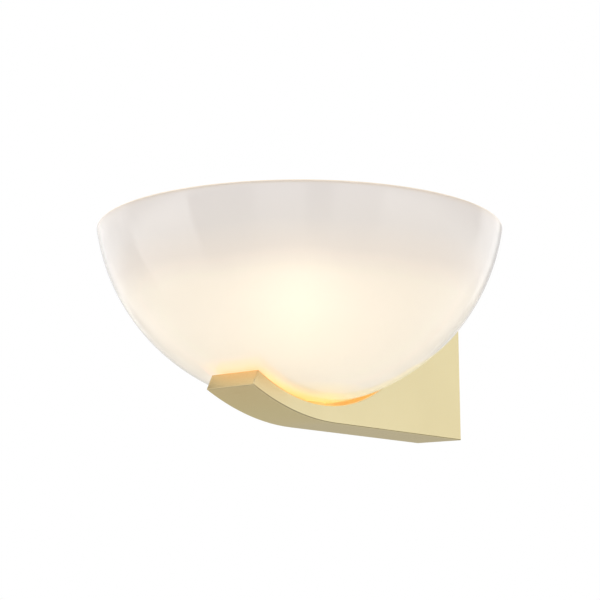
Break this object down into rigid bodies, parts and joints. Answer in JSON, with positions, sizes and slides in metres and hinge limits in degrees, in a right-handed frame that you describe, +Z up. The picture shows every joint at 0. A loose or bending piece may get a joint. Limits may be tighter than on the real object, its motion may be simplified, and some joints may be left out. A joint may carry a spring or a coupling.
{
  "type": "wall sconce",
  "caption": "Wall sconce with an open opal glass bowl resting in the curved arm of a hollow satin brass bracket, with a plug-in lamp standing inside the bowl.",
  "frame": {"origin": "on the wall, midway between the wall plate's two screw slots", "axes": "+Z up, +Y into the wall, +X to the right of someone facing the wall; the light stands out along -Y"},
  "size_m": [0.25, 0.2783, 0.1324],
  "materials": {
    "satin_brass": "satin, fine grain, pale brass",
    "plain_brass": "turned, semi-bright",
    "zinc_steel": "zinc plated",
    "opal_glass": "glossy, milky, clearer towards the rim",
    "clear_silicone": "soft, translucent",
    "black_rubber": "matte",
    "white_nylon": "moulded, matte",
    "porcelain": "glazed ceramic",
    "lamp_opal": "milky lamp cover",
    "circuit_board": "printed board",
    "brown_wire": "smooth insulation",
    "blue_wire": "smooth insulation",
    "green_wire": "smooth insulation"
  },
  "bodies": {
    "wall_side": {"wall_plate": "zinc_steel", "cable_grommet": "black_rubber"},
    "bracket_unit": {"bracket": "satin_brass", "glass_bumpers": "clear_silicone", "seat_pad": "clear_silicone", "threaded_tube": "plain_brass", "lock_nut": "zinc_steel", "star_washer": "zinc_steel", "holder_washer": "zinc_steel", "holder_sleeve": "white_nylon", "ceramic_socket": "porcelain", "socket_contacts": "plain_brass", "socket_screws": "zinc_steel", "terminal_block": "white_nylon", "terminal_tubes": "plain_brass", "terminal_screws": "zinc_steel", "terminal_fixings": "zinc_steel", "earth_screw": "plain_brass", "earth_lug": "plain_brass", "cable_live": "brown_wire", "cable_neutral": "blue_wire", "cable_earth": "green_wire"},
    "locking_screw_unit": {"locking_screw": "plain_brass"},
    "bowl_unit": {"glass_bowl": "opal_glass", "upper_gasket": "clear_silicone"},
    "ring_unit": {"shade_ring": "plain_brass"},
    "lamp_unit": {"lamp_base": "porcelain", "lamp_pins": "zinc_steel", "lamp_cover": "lamp_opal", "lamp_board": "circuit_board"}
  },
  "joints": [
    {"name": "bracket_lift", "type": "slide", "parent": "wall_side", "child": "bracket_unit", "axis": [0, 0, 1], "range_m": [0, 0.007]},
    {"name": "locking_screw_out", "type": "slide", "parent": "bracket_unit", "child": "locking_screw_unit", "axis": [0, 0, 1], "range_m": [0, 0.012]},
    {"name": "bowl_lift", "type": "slide", "parent": "bracket_unit", "child": "bowl_unit", "axis": [0, 0, 1], "range_m": [0, 0.045]},
    {"name": "shade_ring_off", "type": "slide", "parent": "bowl_unit", "child": "ring_unit", "axis": [0, 0, 1], "range_m": [0, 0.02]},
    {"name": "lamp_pull", "type": "slide", "parent": "bracket_unit", "child": "lamp_unit", "axis": [0, 0, 1], "range_m": [0, 0.03]}
  ]
}
